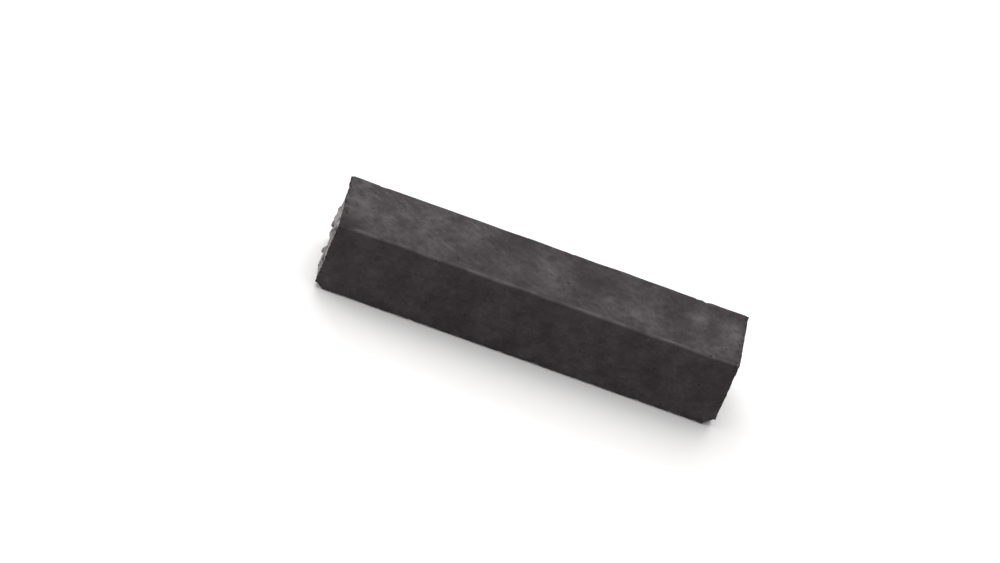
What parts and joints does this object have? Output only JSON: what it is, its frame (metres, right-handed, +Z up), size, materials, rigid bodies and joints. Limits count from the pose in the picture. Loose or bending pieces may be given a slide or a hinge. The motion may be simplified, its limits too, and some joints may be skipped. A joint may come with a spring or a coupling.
{
  "type": "charcoal briquette",
  "caption": "Square bar of pressed coconut-shell charcoal with a round flue hole along its middle and crumbly broken ends, for grills and barbecues.",
  "frame": {"origin": "middle of the long face that the bar lies on", "axes": "+X along the bar, +Y across it away from the viewer, +Z up"},
  "size_m": [0.2268, 0.045, 0.045],
  "materials": {
    "charcoal": "matte"
  },
  "bodies": {
    "root": {"briquette": "charcoal"}
  },
  "joints": []
}
